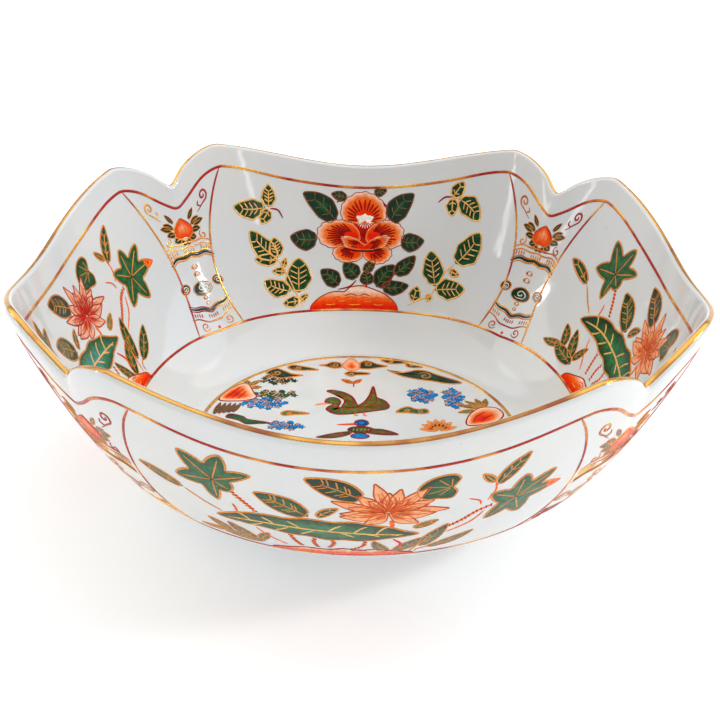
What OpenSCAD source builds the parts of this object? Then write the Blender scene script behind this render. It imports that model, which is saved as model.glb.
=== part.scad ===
// A square-bodied porcelain serving bowl whose lip swells into two lobes beside each notched corner.
// Millimetres, +Z up. The origin is on the table, under the middle of the bowl.
// The +X, -X, +Y and -Y directions point at the middles of the four sides.

/* [Bowl] */
// Width across two opposite sides, over the outside of the lip
bowl_w = 250; // [205:1:310]
// Height of the outer wall's edge at the middle of a side
side_h = 85.5; // [68:0.5:110]
// How much higher the lobes beside the corners would rise without their notch
lobe_rise = 16.5; // [6:0.5:20]
// Squareness of the plan at the lip, where 2 is round
squareness = 2.45; // [2.1:0.05:3.1]
// Roundness of the wall's upright profile, where 2 is an ellipse
belly = 2.05; // [1.7:0.05:2.5]
// How far the wall leans out at the lip, where 1 leans most
flare = 1.1; // [1:0.05:1.35]
// How quickly the round base turns square on the way up
square_fade = 0.75; // [0.5:0.05:1.5]

/* [Corners] */
// Depth of the notch at each corner
notch_drop = 16; // [4:0.5:19]
// How far each corner is pinched inwards at the lip
notch_pinch = 7; // [0:0.5:9]
// Angle from a corner to the end of its notch
notch_reach = 13; // [10:0.5:16]
// Roundness of the notch's shoulders, where 1 is a plain V
notch_curve = 1.45; // [1.1:0.05:1.8]
// How quickly lobes and notches fade on the way down
lip_fade = 1.75; // [1.3:0.05:2.5]

/* [Walls] */
// Thickness of the wall at the lip
lip_t = 3.4; // [2.6:0.1:4.4]
// Thickness of the floor
floor_t = 4.2; // [3.2:0.1:6]
// Diameter of the flat underside
base_d = 128; // [118:1:160]

/* [Foot] */
// Height of the foot ring
foot_h = 8; // [5:0.5:12]
// Outer diameter of the foot ring where it meets the bowl
foot_d = 112; // [80:1:116]
// Width of the foot ring at its unglazed edge
foot_edge_t = 4.5; // [3:0.25:7]
// How much wider the foot ring is at its root
foot_root = 2.5; // [1:0.25:5]
// Bevel that the foot ring's edge is trimmed with
foot_bevel = 0.8; // [0.3:0.1:1.2]

/* [Painted lines] */
// Width of the lines
line_w = 1.1; // [0.6:0.1:2]
// How far the lines stand above the glaze
line_rise = 0.15; // [0.1:0.05:0.3]
// How far the lines are fused into the glaze
line_sink = 0.1; // [0.05:0.05:0.2]
// Thickness of the gilding on the lip
gild_t = 0.15; // [0.1:0.05:0.3]
// How far the frame lines lie below the lip at the middle of a side
frame_drop = 8.7; // [6:0.1:12]
// How much nearer to the lip the frame lines come at the lobes
frame_lift = 2.1; // [0:0.1:3]
// How much further from the lip they hang beside the corners
frame_hang = 1.4; // [0:0.1:2]
// Height of the well line above the floor's level
well_rise = 15.4; // [8:0.1:22]
// Height of the medallion line above the floor's level
medallion_rise = 0.2; // [0.1:0.05:1]
// Height of the outer base line above the underside
base_line_rise = 16; // [10:0.1:24]
// Angle from the middle of a side to the inner dividers at their widest
divider_in = 39.5; // [37:0.1:41]
// The same for the outer dividers
divider_out = 37; // [35:0.1:40]
// Angle that the dividers bow back towards the sides at each end
divider_bow = 7; // [3:0.1:9]

/* [Hidden] */

half_w = bowl_w / 2;
base_r = base_d / 2;
foot_r = foot_d / 2;
wall_h = side_h - foot_h;
lip_r = lip_t / 2;

// Facets around the bowl, up its wall and over its lip
AROUND = 128;
LEVELS = 16;
CROWN = [30, 60, 90, 120, 150];
// The part of the crown that is gilded
GILDED = [60, 90, 120];
DIVIDER_STEPS = 12;
// Step for slopes, as a share of the wall's height and in degrees
NUDGE = 0.001;
TURN = 1;
AZIMUTHS = [for (i = [0 : AROUND - 1]) i * 360 / AROUND];

// Angle from the middle of the nearest side, 0 to 45
function fold(az) = abs((az + 405) % 90 - 45);
// Radius of the plan curve at that angle, for a half width of 1
function plan(f) = pow(pow(cos(f), squareness) + pow(sin(f), squareness), -1 / squareness);
// Depth of the notch there, 1 at the corner and 0 past its reach
function notch(f) = pow(max(0, 1 - (45 - f) / notch_reach), notch_curve);

// Point on the outside at an azimuth and a share t of the way from the underside to the lip
function outside(az, t) =
    let (f = fold(az),
         out = pow(1 - pow(1 - t, flare), 1 / belly),
         fade = pow(t, lip_fade),
         square = 1 + (plan(f) - 1) * pow(t, square_fade),
         r = (base_r + (half_w - base_r) * out) * square - notch_pinch * notch(f) * fade,
         z = foot_h + wall_h * t + (lobe_rise * pow(sin(2 * f), 2) - notch_drop * notch(f)) * fade)
    [r * cos(az), r * sin(az), z];

function unit(v) = v / norm(v);
// Direction up the wall, and the direction out of it, at a point of the outside
function upward(az, t) =
    let (s = min(max(t, 2 * NUDGE), 1 - NUDGE))
    unit(outside(az, s + NUDGE) - outside(az, s - NUDGE));
function outward(az, t) =
    t == 0 ? [0, 0, -1]
           : unit(cross(outside(az + TURN, t) - outside(az - TURN, t), upward(az, t)));
function wall_t(t) = floor_t + (lip_t - floor_t) * t;
function inside(az, t) = outside(az, t) - wall_t(t) * outward(az, t);

// Point on the rounded lip, turned by an angle from the outside over the top, at a radius
function lip(az, turn, r) =
    outside(az, 1) - lip_r * outward(az, 1)
    + r * (cos(turn) * outward(az, 1) + sin(turn) * upward(az, 1));

// Share of the wall's height at each line
function frame_level(f) =
    1 - (frame_drop - frame_lift * exp(-pow((f - 31) / 9, 2))
         + frame_hang * exp(-pow((f - 41.5) / 3, 2))) / wall_h;
well_level = well_rise / wall_h;
medallion_level = medallion_rise / wall_h;
base_line_level = base_line_rise / wall_h;
divider_top = frame_level(divider_in - divider_bow);
// Angle of a divider at a level: widest half way up, bowed back at both ends
function divider_angle(t, widest) = widest - divider_bow * pow((t - 0.47) / 0.45, 2);

// Closed skin over rings of points that all have the same number of points.
// A looped skin joins its last ring to its first, and an open one closes both ends.
module skin(rings, looped) {
    n = len(rings);
    m = len(rings[0]);
    last = looped ? n - 1 : n - 2;
    sides = [for (i = [0 : last], j = [0 : m - 1])
        let (a = i * m + j, b = i * m + (j + 1) % m,
             c = (i + 1) % n * m + (j + 1) % m, d = (i + 1) % n * m + j)
        each [[a, c, b], [a, d, c]]];
    ends = looped ? [] : [[for (j = [0 : m - 1]) j], [for (j = [m - 1 : -1 : 0]) (n - 1) * m + j]];
    polyhedron(points = [for (ring = rings) each ring], faces = concat(sides, ends));
}

// Cross-section of a painted line at a point p, with the way along it and the way off the glaze
function line_ring(p, along, off) =
    let (side = line_w / 2 * unit(cross(off, along)))
    [p + side - line_sink * off, p + side + line_rise * off,
     p - side + line_rise * off, p - side - line_sink * off];
function inner_ring(az, t, along) = line_ring(inside(az, t), along, -outward(az, t));
function outer_ring(az, t, along) = line_ring(outside(az, t), along, outward(az, t));

// Wall from the underside, over the lip and back to the floor
module bowl_body() {
    up = [for (i = [0 : LEVELS]) pow(i / LEVELS, 2)];
    outer_rows = [for (t = up) [for (az = AZIMUTHS) outside(az, t)]];
    lip_rows = [for (turn = CROWN) [for (az = AZIMUTHS) lip(az, turn, lip_r)]];
    inner_rows = [for (i = [LEVELS : -1 : 0]) [for (az = AZIMUTHS) inside(az, up[i])]];
    color("white") skin(concat(outer_rows, lip_rows, inner_rows), false);
}

// Foot ring, luted face to face under the flat underside
module foot_ring() {
    color("linen") rotate_extrude($fn = 128) polygon([
        [foot_r, foot_h],
        [foot_r - foot_root / 2, foot_bevel],
        [foot_r - foot_root / 2 - foot_bevel, 0],
        [foot_r - foot_root / 2 - foot_edge_t + foot_bevel, 0],
        [foot_r - foot_root / 2 - foot_edge_t, foot_bevel],
        [foot_r - foot_root - foot_edge_t, foot_h]]);
}

// Gilding over the top of the lip
module gilt_lip() {
    back = [for (i = [len(GILDED) - 1 : -1 : 0]) GILDED[i]];
    color("goldenrod") skin([for (az = AZIMUTHS) concat(
        [for (turn = GILDED) lip(az, turn, lip_r)],
        [for (turn = back) lip(az, turn, lip_r + gild_t)])], true);
}

module inner_frame_line() {
    color("firebrick") skin([for (az = AZIMUTHS)
        inner_ring(az, frame_level(fold(az)),
                   inside(az + TURN, frame_level(fold(az + TURN)))
                   - inside(az - TURN, frame_level(fold(az - TURN))))], true);
}

module outer_frame_line() {
    color("firebrick") skin([for (az = AZIMUTHS)
        outer_ring(az, frame_level(fold(az)),
                   outside(az + TURN, frame_level(fold(az + TURN)))
                   - outside(az - TURN, frame_level(fold(az - TURN))))], true);
}

// Lines between the side panels and the corner bands, two to each side
module inner_dividers() {
    for (side = [0 : 90 : 270], hand = [-1, 1])
        color("firebrick") skin([for (i = [0 : DIVIDER_STEPS])
            let (t = well_level + (divider_top - well_level) * i / DIVIDER_STEPS,
                 az = side + hand * divider_angle(t, divider_in),
                 next = side + hand * divider_angle(t + NUDGE, divider_in))
            inner_ring(az, t, inside(next, t + NUDGE) - inside(az, t))], false);
}

module outer_dividers() {
    for (side = [0 : 90 : 270], hand = [-1, 1])
        color("firebrick") skin([for (i = [0 : DIVIDER_STEPS])
            let (t = base_line_level + (divider_top - base_line_level) * i / DIVIDER_STEPS,
                 az = side + hand * divider_angle(t, divider_out),
                 next = side + hand * divider_angle(t + NUDGE, divider_out))
            outer_ring(az, t, outside(next, t + NUDGE) - outside(az, t))], false);
}

module well_line() {
    color("firebrick") skin([for (az = AZIMUTHS)
        inner_ring(az, well_level, [-sin(az), cos(az), 0])], true);
}

module medallion_line() {
    color("goldenrod") skin([for (az = AZIMUTHS)
        inner_ring(az, medallion_level, [-sin(az), cos(az), 0])], true);
}

module outer_base_line() {
    color("firebrick") skin([for (az = AZIMUTHS)
        outer_ring(az, base_line_level, [-sin(az), cos(az), 0])], true);
}

bowl_body();
foot_ring();
gilt_lip();
inner_frame_line();
outer_frame_line();
inner_dividers();
outer_dividers();
well_line();
medallion_line();
outer_base_line();
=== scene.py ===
# %% [markdown]
# # A painted porcelain bowl
# The bowl is a square-bodied porcelain dish with notched corners. Its glaze is white, its lip is gilt, and
# its walls carry flowers in raised enamels, outlined in gold. The CAD model gives the frame: the body, the
# foot ring and the painted lines. This lesson makes the same surfaces smooth, then paints them.

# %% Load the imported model
import math
import bpy
import numpy as np
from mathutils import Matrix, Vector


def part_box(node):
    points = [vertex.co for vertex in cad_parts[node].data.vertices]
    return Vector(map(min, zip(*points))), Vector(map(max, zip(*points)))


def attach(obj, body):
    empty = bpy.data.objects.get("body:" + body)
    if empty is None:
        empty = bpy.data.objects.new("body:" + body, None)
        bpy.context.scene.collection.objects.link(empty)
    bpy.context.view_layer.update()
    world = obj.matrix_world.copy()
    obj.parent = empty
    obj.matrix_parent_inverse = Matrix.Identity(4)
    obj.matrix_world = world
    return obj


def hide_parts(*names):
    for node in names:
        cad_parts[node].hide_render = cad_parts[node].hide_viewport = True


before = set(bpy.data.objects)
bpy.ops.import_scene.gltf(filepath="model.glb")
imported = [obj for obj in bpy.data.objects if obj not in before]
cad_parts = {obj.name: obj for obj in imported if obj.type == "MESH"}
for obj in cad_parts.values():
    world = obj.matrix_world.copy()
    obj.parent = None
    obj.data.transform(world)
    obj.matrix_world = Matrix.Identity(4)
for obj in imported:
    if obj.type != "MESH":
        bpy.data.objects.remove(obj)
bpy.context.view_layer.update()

MM = 0.001
body_low, body_high = (np.array(corner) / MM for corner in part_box("bowl_body"))
print("CAD nodes:", sorted(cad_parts))

# %% [markdown]
# ## The wall as a formula
# A mould maker describes this wall with a few rules. Seen from above it is a circle at the base that turns
# into a rounded square at the lip. Seen from the side it is part of an ellipse that leans out. The lip
# swells up beside each corner, and a notch cuts down and inwards at the corner itself. The whole wall is
# then a function of two parameters: the azimuth round the bowl, in degrees, and the level t, from 0 at the
# underside to 1 at the lip. Working in a formula rather than modelling by hand keeps the glaze, the gilding
# and every painted leaf on exactly the same surface.

# %% Sizes of the wall, in millimetres and degrees
HALF_WIDTH = body_high[0]          # middle of a side, outside
UNDERSIDE = body_low[2]            # the foot ring's height
SIDE_HEIGHT = 85.5                 # the outer wall's edge at the middle of a side
BASE_RADIUS = 64.0
LOBE_RISE, SQUARENESS = 16.5, 2.45
NOTCH_DROP, NOTCH_PINCH, NOTCH_REACH, NOTCH_CURVE = 16.0, 7.0, 13.0, 1.45
BELLY, FLARE, SQUARE_FADE, LIP_FADE = 2.05, 1.1, 0.75, 1.75
TIP_ROUND = 0.8                    # how far the glaze softens the notch's tip, in degrees
LIP_THICKNESS, FLOOR_THICKNESS = 3.4, 4.2
LIP_RADIUS = LIP_THICKNESS / 2
WALL_HEIGHT = SIDE_HEIGHT - UNDERSIDE
NUDGE, TURN = 0.001, 1.0           # steps in level and in degrees that slopes are measured over
SIDES, CORNERS = (0, 90, 180, 270), (45, 135, 225, 315)
print(f"half width {HALF_WIDTH:.1f}, underside {UNDERSIDE:.1f}, top {body_high[2]:.1f}")

# %% [markdown]
# The outside is worked out first, because the real wall is pressed against a mould, and the mould shapes
# its outside. The inside then lies one wall's thickness further in, measured along the wall's own normal,
# and the lip is a half circle between the two.

# %% The outside of the wall
def fold(azimuth):
    """Angle from the middle of the nearest side, 0 to 45 degrees."""
    return np.abs(np.mod(azimuth + 45, 90) - 45)


def outside(azimuth, t):
    """Point on the outside: radius = ellipse profile times a superellipse plan, less the pinch; height =
    share of the wall plus a lobe of sin^2(2 angle) less the notch, both fading towards the base."""
    azimuth, t = np.broadcast_arrays(np.asarray(azimuth, float), np.clip(t, 0, 1))
    f = np.radians(fold(azimuth))
    out = (1 - (1 - t) ** FLARE) ** (1 / BELLY)
    plan = (np.cos(f) ** SQUARENESS + np.sin(f) ** SQUARENESS) ** (-1 / SQUARENESS)
    away = 45 - np.degrees(f)
    away = np.sqrt(away ** 2 + TIP_ROUND ** 2) - TIP_ROUND * np.exp(-(away / (3 * TIP_ROUND)) ** 2)
    notch = np.clip(1 - away / NOTCH_REACH, 0, 1) ** NOTCH_CURVE
    fade = t ** LIP_FADE
    radius = (BASE_RADIUS + (HALF_WIDTH - BASE_RADIUS) * out) * (1 + (plan - 1) * t ** SQUARE_FADE)
    radius = radius - NOTCH_PINCH * notch * fade
    height = UNDERSIDE + WALL_HEIGHT * t
    height = height + (LOBE_RISE * np.sin(2 * f) ** 2 - NOTCH_DROP * notch) * fade
    a = np.radians(azimuth)
    return np.stack([radius * np.cos(a), radius * np.sin(a), height], -1)


def unit(v):
    """Vectors divided by their own length."""
    return v / np.linalg.norm(v, axis=-1, keepdims=True)


def slopes(azimuth, t):
    """Unit vectors up the wall and out of it, from small steps in both parameters."""
    s = np.clip(t, 2 * NUDGE, 1 - NUDGE)
    up = unit(outside(azimuth, s + NUDGE) - outside(azimuth, s - NUDGE))
    around = outside(azimuth + TURN, s) - outside(azimuth - TURN, s)
    return up, unit(np.cross(around, up))


def outer_wall(azimuth, t, lift=0.0):
    """Outside of the wall, raised off the glaze by lift."""
    azimuth, t, lift = np.broadcast_arrays(azimuth, t, lift)
    return outside(azimuth, t) + lift[..., None] * slopes(azimuth, t)[1]


def inner_wall(azimuth, t, lift=0.0):
    """Inside of the wall: the outside moved in by the thickness, which thins from floor to lip."""
    azimuth, t, lift = np.broadcast_arrays(azimuth, t, lift)
    thickness = FLOOR_THICKNESS + (LIP_THICKNESS - FLOOR_THICKNESS) * t + lift
    return outside(azimuth, t) - thickness[..., None] * slopes(azimuth, t)[1]


def lip_point(azimuth, turn, radius):
    """Point on the rounded lip, turned by an angle from the outside, over the top, to the inside."""
    azimuth, turn = np.broadcast_arrays(azimuth, np.radians(turn))
    up, out = slopes(azimuth, np.ones_like(azimuth))
    centre = outside(azimuth, 1) - LIP_RADIUS * out
    return centre + radius * (np.cos(turn)[..., None] * out + np.sin(turn)[..., None] * up)


print("lip at side and corner:", outside(0, 1).round(1), outside(45, 1).round(1))

# %% [markdown]
# ## Skins from rings
# Every piece here is a closed skin: rings of points, each joined to the next. A ring may be a turn round
# the bowl, or the cross-section of a painted stroke. Building all pieces with one function keeps them
# closed and lets numpy work on whole arrays. Where a skin must close at both ends, its first and last rings
# shrink to a point.

# %% Closed skins
def skin(rings, looped=False):
    """Points and faces over rings shaped (n, m, 3 or more). Looped joins the last ring to the first.
    Channels after the third, such as a colour, are carried along with each point."""
    n, m, channels = rings.shape
    if looped:
        index = np.arange(n * m).reshape(n, m)
        points, first = rings.reshape(-1, channels), index
        after, caps = np.roll(index, -1, 0), []
    else:
        ends = rings[[0, -1]].mean(1)
        points = np.concatenate([rings[1:-1].reshape(-1, channels), ends])
        index = np.arange((n - 2) * m).reshape(n - 2, m)
        first, after = index[:-1], index[1:]
        low, high = len(points) - 2, len(points) - 1
        near, far = index[0], index[-1]
        caps = [np.stack([np.full(m, low), np.roll(near, -1), near], 1),
                np.stack([np.full(m, high), far, np.roll(far, -1)], 1)]
    quads = np.stack([first, np.roll(first, -1, 1), np.roll(after, -1, 1), after], -1).reshape(-1, 4)
    caps = np.concatenate(caps) if caps else np.zeros((0, 3), int)
    return outward(points, quads, caps)


def outward(points, quads, caps):
    """Turns the faces so that the volume they enclose is positive: a sixth of the sum of a . (b x c)."""
    p = points[:, :3]
    a, b, c, d = (p[quads[:, k]] for k in range(4))
    volume = (np.cross(a, b) * c).sum() + (np.cross(a, c) * d).sum()
    volume += (np.cross(p[caps[:, 0]], p[caps[:, 1]]) * p[caps[:, 2]]).sum()
    if volume < 0:
        quads, caps = quads[:, ::-1], caps[:, ::-1]
    return points, quads, caps


def piece(name, points, quads, caps, material):
    """A smooth mesh in metres from points in millimetres. Channels after the third become its colour."""
    mesh = bpy.data.meshes.new(name)
    mesh.from_pydata(points[:, :3] * MM, [], quads.tolist() + caps.tolist())
    mesh.shade_smooth()
    if points.shape[1] > 3:
        layer = mesh.color_attributes.new(name="enamel", type="FLOAT_COLOR", domain="POINT")
        rgba = np.concatenate([points[:, 3:6], np.ones((len(points), 1))], 1)
        layer.data.foreach_set("color", rgba.astype(np.float32).ravel())
    mesh.materials.append(material)
    made = bpy.data.objects.new(name, mesh)
    bpy.context.scene.collection.objects.link(made)
    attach(made, "root")
    print(f"{name}: {len(mesh.polygons)} faces")
    return made

# %% [markdown]
# ## Materials
# A glaze is a thin layer of glass. It is nearly white, very smooth, and never quite flat, so its highlights
# waver. The enamels are glassy too, but thicker and coloured by the brush, so they read the colour that
# each stroke carries. The gold is a thin film burnished over iron red: where it reflects the studio it is
# bright, and where it is worn or thin the red shows.

# %% Helpers for node materials
def new_material(name, **shader_values):
    """A material, its node tree and its Principled shader, with fixed values set on the shader's own
    sockets."""
    material = bpy.data.materials.new(name)
    material.use_nodes = True
    tree = material.node_tree
    shader = tree.nodes["Principled BSDF"]
    for socket, value in shader_values.items():
        shader.inputs[socket.replace("_", " ")].default_value = value
    return material, tree, shader


def noise(tree, scale, detail=3.0):
    """Noise over the object's own coordinates, in cycles per metre."""
    place = tree.nodes.new("ShaderNodeTexCoord")
    cloud = tree.nodes.new("ShaderNodeTexNoise")
    cloud.inputs["Scale"].default_value = scale
    cloud.inputs["Detail"].default_value = detail
    tree.links.new(place.outputs["Object"], cloud.inputs["Vector"])
    return cloud.outputs["Fac"]


def spread(tree, value, low, high, to_low, to_high):
    """Maps a value from one range to another, clamped."""
    node = tree.nodes.new("ShaderNodeMapRange")
    for socket, number in zip(("From Min", "From Max", "To Min", "To Max"), (low, high, to_low, to_high)):
        node.inputs[socket].default_value = number
    tree.links.new(value, node.inputs["Value"])
    return node.outputs["Result"]


def blend_colours(tree, factor, first, second):
    """Mixes two colours, each a tuple or a node's output."""
    node = tree.nodes.new("ShaderNodeMix")
    node.data_type = "RGBA"
    for number, colour in ((6, first), (7, second)):
        if isinstance(colour, tuple):
            node.inputs[number].default_value = (*colour, 1)
        else:
            tree.links.new(colour, node.inputs[number])
    if isinstance(factor, float):
        node.inputs[0].default_value = factor
    else:
        tree.links.new(factor, node.inputs[0])
    return node.outputs[2]


def roughen(tree, shader, scale, low, high):
    """Lets the roughness waver between two values, at a scale in cycles per metre."""
    tree.links.new(spread(tree, noise(tree, scale), 0.3, 0.7, low, high), shader.inputs["Roughness"])


def stroke_colour(tree):
    """The colour that each painted stroke carries."""
    own = tree.nodes.new("ShaderNodeAttribute")
    own.attribute_name = "enamel"
    return own.outputs["Color"]


def bump(tree, shader, height, distance, strength):
    """Adds relief of the given distance, in metres, to the shader."""
    node = tree.nodes.new("ShaderNodeBump")
    node.inputs["Distance"].default_value = distance
    node.inputs["Strength"].default_value = strength
    tree.links.new(height, node.inputs["Height"])
    tree.links.new(node.outputs["Normal"], shader.inputs["Normal"])

# %% [markdown]
# Each finish is a short recipe of noise. Its scales come from the real thing: clouds in the glaze are
# centimetres across, pin specks are rare, brush streaks run a millimetre or two, and gold wears through in
# patches.

# %% Glaze, bare porcelain, gilding and enamel
def make_glaze():
    """White glaze: faint cool and warm clouds, wavering gloss, and a slow ripple."""
    material, tree, shader = new_material(
        "porcelain glaze", IOR=1.5, Subsurface_Weight=0.12, Subsurface_Scale=0.004)
    clouds = spread(tree, noise(tree, 22), 0.35, 0.65, 0.0, 1.0)
    colour = blend_colours(tree, clouds, (0.685, 0.705, 0.71), (0.715, 0.715, 0.685))
    specks = spread(tree, noise(tree, 420, 1.0), 0.80, 0.82, 0.0, 0.5)
    colour = blend_colours(tree, specks, colour, (0.55, 0.53, 0.50))
    tree.links.new(colour, shader.inputs["Base Color"])
    roughen(tree, shader, 140, 0.035, 0.085)
    bump(tree, shader, noise(tree, 55, 2.0), 0.0005, 0.4)
    return material


def make_bare_edge():
    """Foot ring: glazed sides, and a ground edge that shows the dry, slightly toasted body."""
    material, tree, shader = new_material("foot ring", IOR=1.5)
    place = tree.nodes.new("ShaderNodeTexCoord")
    parts = tree.nodes.new("ShaderNodeSeparateXYZ")
    tree.links.new(place.outputs["Object"], parts.inputs["Vector"])
    bare = spread(tree, parts.outputs["Z"], 0.0009, 0.0013, 1.0, 0.0)
    toast = spread(tree, parts.outputs["Z"], 0.0011, 0.0022, 1.0, 0.0)
    body = blend_colours(tree, noise(tree, 700), (0.62, 0.57, 0.50), (0.80, 0.76, 0.70))
    glazed = blend_colours(tree, toast, (0.80, 0.81, 0.81), (0.72, 0.60, 0.46))
    tree.links.new(blend_colours(tree, bare, glazed, body), shader.inputs["Base Color"])
    tree.links.new(spread(tree, bare, 0.0, 1.0, 0.08, 0.75), shader.inputs["Roughness"])
    bump(tree, shader, noise(tree, 2500), 0.00008, 0.6)
    return material


def make_gold(name, gold, red, cover):
    """Burnished gold over iron red. Cover is how much of the red the gold hides."""
    material, tree, shader = new_material(name, IOR=1.5, Specular_IOR_Level=0.25)
    wear = spread(tree, noise(tree, 45, 3.0), 0.62 - cover / 2, 0.80 - cover / 2, 0.0, 1.0)
    tree.links.new(blend_colours(tree, wear, red, gold), shader.inputs["Base Color"])
    tree.links.new(spread(tree, wear, 0.0, 1.0, 0.0, 0.85), shader.inputs["Metallic"])
    roughen(tree, shader, 600, 0.2, 0.3)
    bump(tree, shader, noise(tree, 1400), 0.00003, 0.5)
    return material


def make_enamel(name, streak, rough, gloss):
    """Painted enamel: the stroke's own colour, broken by brush streaks, under a glassy surface."""
    material, tree, shader = new_material(name, IOR=1.45, Specular_IOR_Level=gloss)
    brush = spread(tree, noise(tree, 520, 4.0), 0.3, 0.7, 1.0 - streak, 1.0 + streak)
    shade = tree.nodes.new("ShaderNodeVectorMath")
    shade.operation = "SCALE"
    tree.links.new(stroke_colour(tree), shade.inputs["Vector"])
    tree.links.new(brush, shade.inputs["Scale"])
    tree.links.new(shade.outputs["Vector"], shader.inputs["Base Color"])
    roughen(tree, shader, 700, rough, rough + 0.1)
    bump(tree, shader, noise(tree, 1100, 2.0), 0.00005, 0.5)
    return material


glaze = make_glaze()
bare_edge = make_bare_edge()
lip_gold = make_gold("lip gilding", (0.72, 0.38, 0.09), (0.32, 0.09, 0.02), 0.6)
line_gold = make_gold("gilt line over iron red", (1.0, 0.50, 0.09), (0.40, 0.014, 0.003), 0.34)
print("materials:", len(bpy.data.materials))

# %% [markdown]
# ## The porcelain body
# The real body is slip-cast: one even wall from the underside, over the lip and down to the floor. Its skin
# is one run of rings: up the outside, round the lip as a half circle, and down the inside. Levels are
# squared, so that rings crowd together where the wall turns into the floor. This smooth skin replaces the
# faceted CAD body.

# %% Body and foot ring
AROUND, RINGS_UP = 512, 72
CROWDING = 0.6                     # how strongly points crowd towards the corners, from 0 to 1


def crowded(angles):
    """Angles drawn towards the corners: a share of sin(4 angle) is added, so the steps there are shorter."""
    return angles + math.degrees(CROWDING / 4) * np.sin(np.radians(4 * angles))


azimuths = crowded(np.arange(AROUND) * 360 / AROUND)
levels = (np.arange(RINGS_UP + 1) / RINGS_UP) ** 2
crown = np.linspace(0, 180, 15)[1:-1]


def body_rings():
    """Rings from the middle of the underside, up the outside, over the lip, down the inside to the floor."""
    spokes = np.array([0.0, 0.35, 0.7, 0.9])[:, None]
    flat = outside(azimuths, 0)
    under = np.stack([spokes * flat[:, 0], spokes * flat[:, 1], np.full((4, AROUND), UNDERSIDE)], -1)
    outer = outside(azimuths, levels[:, None])
    lip = lip_point(azimuths, crown[:, None], LIP_RADIUS)
    inner = inner_wall(azimuths, levels[::-1, None])
    inner[-1] = flat + [0, 0, FLOOR_THICKNESS]
    floor = under[::-1] + [0, 0, FLOOR_THICKNESS]
    return np.concatenate([under, outer, lip, inner, floor])


body = piece("bowl_porcelain", *skin(body_rings()), glaze)
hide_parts("bowl_body")

# %% [markdown]
# The foot ring is turned on the wheel. Its glaze stops short of the ground edge, which is wiped clean so
# that the bowl does not stick to the kiln shelf.

# %% Foot ring
foot_profile = np.array([(56.2, 8.4), (55.6, 6.0), (55.0, 2.5), (54.75, 1.0), (54.4, 0.35), (53.95, 0.0),
    (52.5, 0.0), (51.05, 0.0), (50.6, 0.35), (50.25, 1.0), (50.0, 2.5), (49.4, 6.0), (48.8, 8.4)])
a = np.radians(np.linspace(0, 360, 257)[:-1])[:, None]
foot_rings = np.stack([foot_profile[:, 0] * np.cos(a), foot_profile[:, 0] * np.sin(a), foot_profile[:, 1]
    + 0 * a], -1)
foot = piece("foot_ring_turned", *skin(foot_rings, looped=True), bare_edge)
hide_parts("foot_ring")

# %% [markdown]
# Gold is brushed along the crown of the lip only. The band is the middle of the lip's own half circle,
# raised by a film, and its edges wander a little, as a hand-held brush does.

# %% Gilt lip
gilt_turns = np.array([59, 60, 66, 76, 88, 100, 110, 116, 117, 116, 90, 60])
gilt_radius = LIP_RADIUS + np.array([-0.1, 0.08, 0.14, 0.15, 0.15, 0.15, 0.14, 0.08, -0.1, -0.25, -0.25,
    -0.25])
turns = crowded(np.arange(720) * 0.5)
gilt_azimuths = turns[:, None]
wander = 3 * np.sin(np.radians(gilt_azimuths * 7)) + 2 * np.sin(np.radians(gilt_azimuths * 17 + 40))
gilt_rings = lip_point(gilt_azimuths, gilt_turns + wander * np.sign(gilt_turns - 90), gilt_radius[:, None])
lip = piece("gilt_lip_band", *skin(gilt_rings, looped=True), lip_gold)
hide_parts("gilt_lip")

# %% [markdown]
# ## Painted lines on the wall
# A banding line is one steady stroke of the brush while the bowl turns. It lies on the glaze as a low
# rounded bead, so its section is a shallow arch. The frame line dips beside each notch as the lip does, and
# each side panel is closed off from the corner band by two bowed lines.

# %% Beads along a path
BEAD_HEIGHT, BEAD_ROOT = 0.2, 0.1  # how far a bead stands off the glaze, and how far it is fused in
FRAME_DROP = 8.7                   # of the frame line under the lip, at the middle of a side
FRAME_LIFT, FRAME_HANG = 2.1, 1.4  # how it nears the lip on the lobes, and hangs lower beside the notch


def wall_bead(wall, azimuth, t, width, looped=False):
    """Rings of an arch section swept along a path on the wall: across = normal x direction. The ends fade
    when the path is not looped."""
    centre = wall(azimuth, t)
    normal = unit(wall(azimuth, t, 1.0) - centre)
    if looped:
        along = unit(np.roll(centre, -1, 0) - np.roll(centre, 1, 0))
        swell = np.ones(len(centre))
    else:
        along = unit(np.gradient(centre, axis=0))
        swell = np.sqrt(1 - np.abs(np.linspace(-1, 1, len(centre))) ** 12)
    across = unit(np.cross(normal, along))
    sides = np.array([-1, -0.8, -0.4, 0, 0.4, 0.8, 1])[:, None]
    root = -BEAD_ROOT / BEAD_HEIGHT
    rise = BEAD_HEIGHT * np.array([root, 0.55, 0.92, 1, 0.92, 0.55, root])[:, None]
    arch = width / 2 * sides * across[:, None] + rise * normal[:, None]
    return skin(centre[:, None] + swell[:, None, None] * arch, looped)


def join(parts):
    """One set of points and faces from many."""
    offsets = np.cumsum([0] + [len(p[0]) for p in parts[:-1]])
    quads, caps = ([p[k] + start for p, start in zip(parts, offsets)] for k in (1, 2))
    return np.concatenate([p[0] for p in parts]), np.concatenate(quads), np.concatenate(caps)


def frame_level(azimuth):
    """Level of the frame line: a set distance under the lip, less on the lobes and more beside the notch,
    each as a bell curve of the angle."""
    f = fold(azimuth)
    lobe, shoulder = np.exp(-((f - 31) / 9) ** 2), np.exp(-((f - 41.5) / 3) ** 2)
    return 1 - (FRAME_DROP - FRAME_LIFT * lobe + FRAME_HANG * shoulder) / WALL_HEIGHT


def line_piece(name, parts, node, finish=line_gold):
    """One piece of all the beads that stand in for a painted line."""
    made = piece(name, *join(parts), finish)
    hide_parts(node)

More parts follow.
